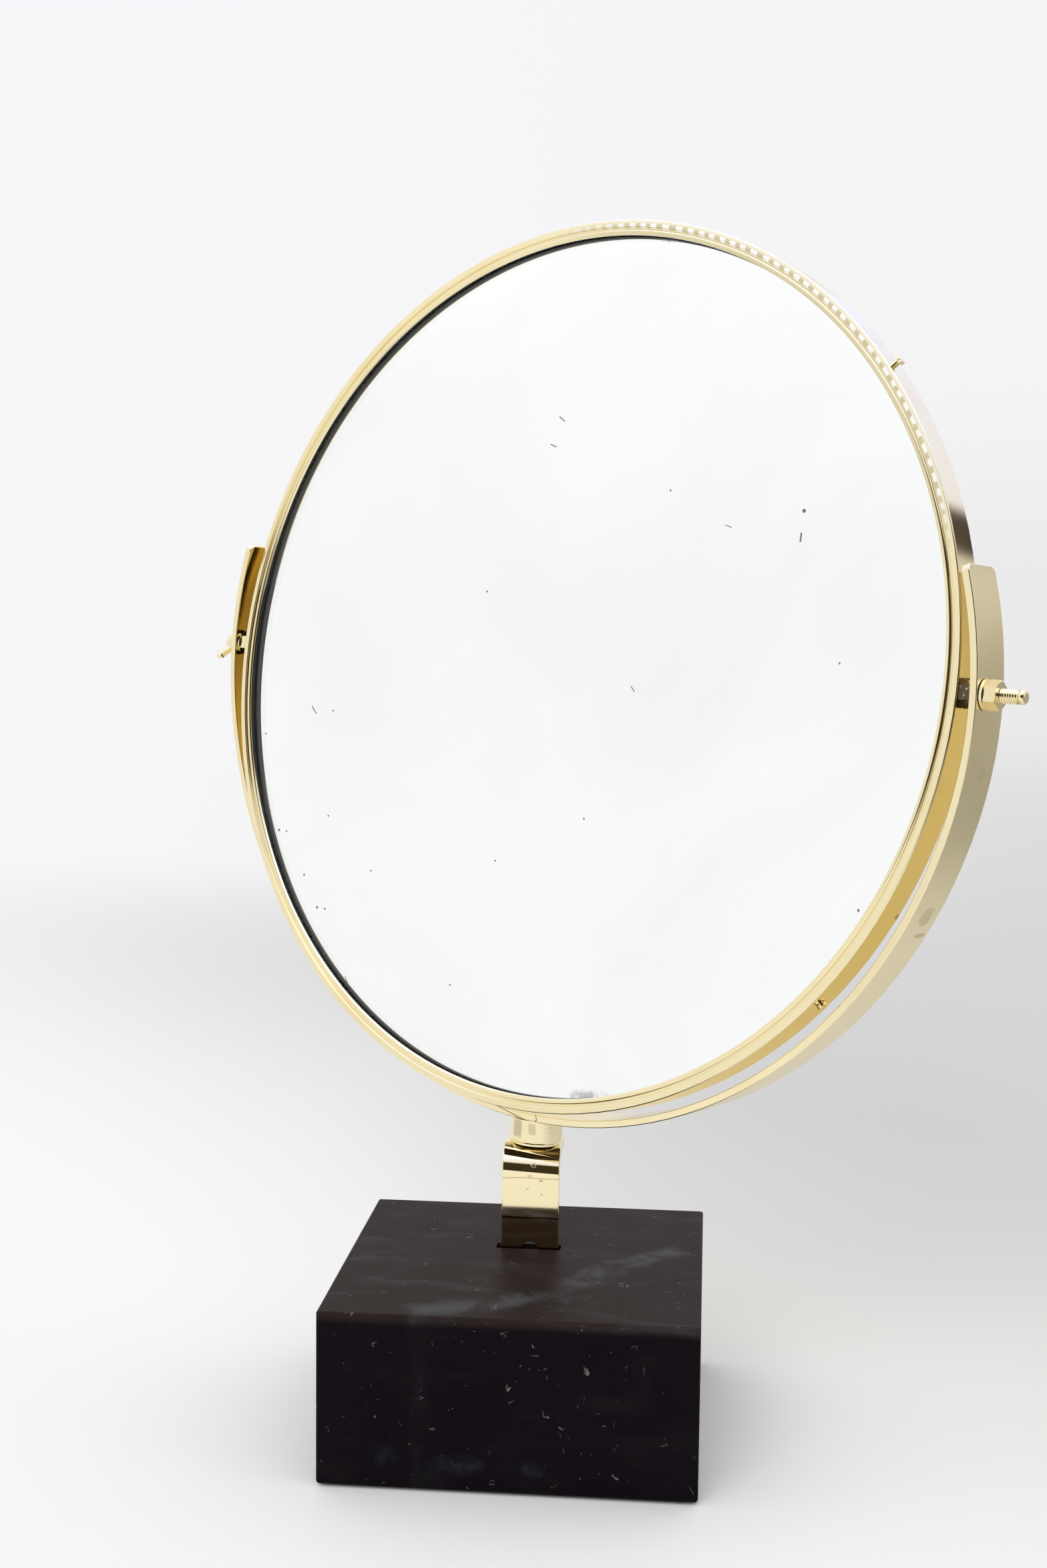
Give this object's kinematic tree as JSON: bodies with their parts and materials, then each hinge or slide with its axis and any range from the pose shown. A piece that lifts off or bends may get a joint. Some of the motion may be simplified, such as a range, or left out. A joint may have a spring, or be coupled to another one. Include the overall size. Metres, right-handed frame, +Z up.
{
  "type": "vanity mirror",
  "caption": "Round brass-framed mirror that tilts in a brass yoke and swivels on a bent brass stem in a square marble block.",
  "frame": {"origin": "middle of the underside of the felt that the block rests on", "axes": "+Z up; +X to the right along the block's front face; -Y to the front. The rest pose has the head swivelled 33.8 degrees to the left and the glass tilted back 5.4 degrees."},
  "size_m": [0.3564, 0.2438, 0.5098],
  "materials": {
    "black_marble": "honed black marble with a soft grey vein",
    "dark_felt": "thin dark felt",
    "polished_brass": "polished brass with fine marks and a little tarnish",
    "beaded_brass": "polished brass bead",
    "back_brass": "satin brass",
    "brass_fastener": "turned brass",
    "steel_fastener": "plain steel",
    "bedding_resin": "dark casting resin",
    "black_rubber": "black rubber",
    "clear_glass": "clear polished glass",
    "silvering": "silvering with age specks",
    "board": "plain fibreboard"
  },
  "bodies": {
    "base": {"marble_base": "black_marble", "felt_pad": "dark_felt", "stem": "polished_brass", "stem_bedding": "bedding_resin", "swivel_disc": "polished_brass"},
    "yoke": {"yoke": "polished_brass", "yoke_collar": "polished_brass", "swivel_screw": "steel_fastener", "swivel_spring_washer": "steel_fastener", "swivel_nut": "steel_fastener"},
    "mirror": {"frame_band": "polished_brass", "front_retaining_ring": "beaded_brass", "rear_retaining_ring": "beaded_brass", "glass_gasket": "black_rubber", "mirror_glass": "clear_glass", "silvering": "silvering", "backing_board": "board", "back_plate": "back_brass", "retaining_screws": "brass_fastener", "left_pivot_stud": "brass_fastener", "right_pivot_stud": "brass_fastener", "pivot_jam_nuts": "brass_fastener", "inner_washers": "brass_fastener", "right_clamp_washer": "brass_fastener", "right_pivot_nut": "brass_fastener"},
    "clamp_washer": {"left_clamp_washer": "brass_fastener"},
    "wing_nut": {"left_wing_nut": "brass_fastener"}
  },
  "joints": [
    {"name": "swivel", "type": "hinge", "parent": "base", "child": "yoke", "pos_m": [0.0015, 0.03083, 0.1132], "axis": [0.0488, 0.0244, 0.9985], "continuous": true},
    {"name": "tilt", "type": "hinge", "parent": "yoke", "child": "mirror", "pos_m": [0.00932, 0.03242, 0.321], "axis": [0.8307, -0.5561, -0.027], "continuous": true},
    {"name": "washer_slide", "type": "slide", "parent": "mirror", "child": "clamp_washer", "axis": [-0.8307, 0.5561, 0.027], "range_m": [0, 0.002]},
    {"name": "wing_nut_spin", "type": "hinge", "parent": "clamp_washer", "child": "wing_nut", "pos_m": [-0.15681, 0.14365, 0.3264], "axis": [-0.8307, 0.5561, 0.027], "range_deg": [0, 720]}
  ],
  "couplings": [
    {"joint": "washer_slide", "follows": "wing_nut_spin", "m_per_rad": 0.00015915}
  ]
}
